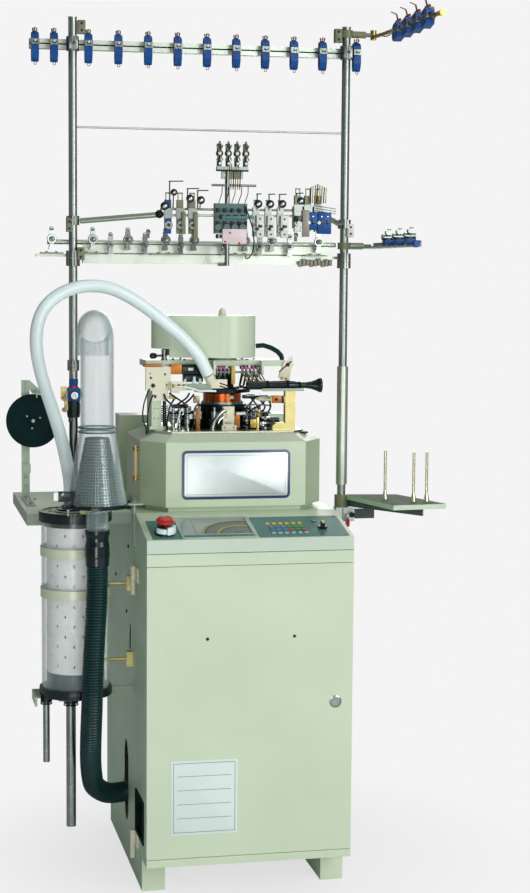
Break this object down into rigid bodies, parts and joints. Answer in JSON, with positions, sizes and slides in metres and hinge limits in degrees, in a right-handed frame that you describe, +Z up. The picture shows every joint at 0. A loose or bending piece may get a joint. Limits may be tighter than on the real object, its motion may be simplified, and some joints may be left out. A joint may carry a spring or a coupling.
{
  "type": "sock knitting machine",
  "caption": "Floor-standing circular sock knitting machine with swinging control box, needle cylinder, lint filter, sock funnel and a tall yarn creel.",
  "frame": {"origin": "on the floor under the middle of the machine's overall width and depth", "axes": "+X to the operator's right, +Y to the back, +Z up"},
  "size_m": [1.2416, 0.912, 2.4015],
  "materials": {
    "green": "satin sage-green paint",
    "steel": "brushed",
    "chrome": "polished chrome",
    "iron": "black enamel",
    "copper_cap": "bronze, machined",
    "brass": "zinc-yellow",
    "cream": "cream paint",
    "clear": "clear acrylic",
    "white_plastic": "milky",
    "black_plastic": "black moulded",
    "rubber": "black corrugated",
    "blue_plastic": "royal blue",
    "red_plastic": "red cap",
    "electrics": "grey modules"
  },
  "bodies": {
    "machine": {"base_cabinet": "green", "base_skids": "green", "rear_cover": "green", "rear_housing": "green", "gear_housing": "green", "oil_gauge": "clear", "machine_plate": "steel", "cam_box": "iron", "sinker_cap": "copper_cap", "actuators": "chrome", "side_column": "green", "feeder_plates": "cream", "yarn_tower": "brass", "bridge_plate": "green", "drum_cover": "green", "dial_hub": "iron", "trumpet_tube": "black_plastic", "white_hose": "white_plastic", "head_hoses": "black_plastic", "filter_tube": "clear", "filter_screen": "white_plastic", "filter_caps": "black_plastic", "filter_clamps": "brass", "drain_tubes": "chrome", "side_brackets": "green", "funnel_shell": "clear", "funnel_screen": "black_plastic", "suction_couplings": "black_plastic", "clear_pipes": "clear", "suction_hose": "rubber", "left_table": "green", "reel_bracket": "green", "creel_posts": "chrome", "post_clamps": "chrome", "top_rail": "steel", "thread_detectors": "blue_plastic", "middle_rails": "steel", "tensioners": "chrome", "yarn_sensors": "steel", "air_unit": "black_plastic", "drive_motor": "iron", "drive_belt": "rubber"},
    "control_box": {"control_box": "green", "console": "green", "console_panels": "black_plastic", "side_grille": "black_plastic", "electrics": "electrics"},
    "front_door": {"front_door": "green"},
    "door_lock": {"door_lock": "chrome"},
    "estop_button": {"estop_button": "red_plastic"},
    "selector_knob": {"selector_knob": "black_plastic"},
    "needle_cylinder": {"needle_cylinder": "steel"},
    "dial": {"dial": "steel"},
    "motor_pulley": {"motor_pulley": "steel"},
    "yarn_fingers": {"yarn_fingers": "steel"},
    "reel_disc": {"reel_disc": "black_plastic"},
    "air_knob": {"air_knob": "blue_plastic"},
    "right_table": {"right_table": "green"},
    "upper_arm": {"upper_arm": "blue_plastic"},
    "lower_arm": {"lower_arm": "steel"}
  },
  "joints": [
    {"name": "box_swing", "type": "hinge", "parent": "machine", "child": "control_box", "pos_m": [-0.30801, -0.175, 0.5], "axis": [0, 0, -1], "range_deg": [0, 28]},
    {"name": "door_swing", "type": "hinge", "parent": "control_box", "child": "front_door", "pos_m": [-0.29301, -0.37, 0.5], "axis": [0, 0, -1], "range_deg": [0, 105]},
    {"name": "lock_turn", "type": "hinge", "parent": "front_door", "child": "door_lock", "pos_m": [0.21299, -0.37, 0.521], "axis": [0, -1, 0], "range_deg": [0, 90]},
    {"name": "estop_push", "type": "slide", "parent": "control_box", "child": "estop_button", "axis": [0, 0.2067, -0.9784], "range_m": [0, 0.006]},
    {"name": "selector_turn", "type": "hinge", "parent": "control_box", "child": "selector_knob", "pos_m": [0.18799, -0.31543, 0.98364], "axis": [0, -0.2067, 0.9784], "range_deg": [-45, 45]},
    {"name": "cylinder_spin", "type": "hinge", "parent": "machine", "child": "needle_cylinder", "pos_m": [-0.02001, 0.054, 1.25], "axis": [0, 0, 1], "continuous": true},
    {"name": "dial_spin", "type": "hinge", "parent": "machine", "child": "dial", "pos_m": [-0.02001, 0.054, 1.35], "axis": [0, 0, 1], "continuous": true},
    {"name": "motor_spin", "type": "hinge", "parent": "machine", "child": "motor_pulley", "pos_m": [0.15799, 0.054, 0.95], "axis": [0, 0, 1], "continuous": true},
    {"name": "finger_lift", "type": "hinge", "parent": "machine", "child": "yarn_fingers", "pos_m": [-0.02001, -0.03, 1.392], "axis": [1, 0, 0], "range_deg": [0, 8]},
    {"name": "reel_spin", "type": "hinge", "parent": "machine", "child": "reel_disc", "pos_m": [-0.54301, 0.237, 1.2382], "axis": [0, 1, 0], "continuous": true},
    {"name": "air_knob_turn", "type": "hinge", "parent": "machine", "child": "air_knob", "pos_m": [-0.43101, 0.182, 1.35], "axis": [0, 0, 1], "range_deg": [0, 270]},
    {"name": "table_swing", "type": "hinge", "parent": "machine", "child": "right_table", "pos_m": [0.37699, 0.214, 1], "axis": [0, 0, 1], "range_deg": [-15, 75]},
    {"name": "upper_arm_swing", "type": "hinge", "parent": "machine", "child": "upper_arm", "pos_m": [0.37699, 0.214, 2.37], "axis": [0, 0, 1], "range_deg": [-20, 60]},
    {"name": "lower_arm_swing", "type": "hinge", "parent": "machine", "child": "lower_arm", "pos_m": [0.37699, 0.214, 1.752], "axis": [0, 0, 1], "range_deg": [-20, 60]}
  ],
  "couplings": [
    {"joint": "dial_spin", "follows": "cylinder_spin", "ratio": 1},
    {"joint": "motor_spin", "follows": "cylinder_spin", "ratio": 2.875}
  ]
}
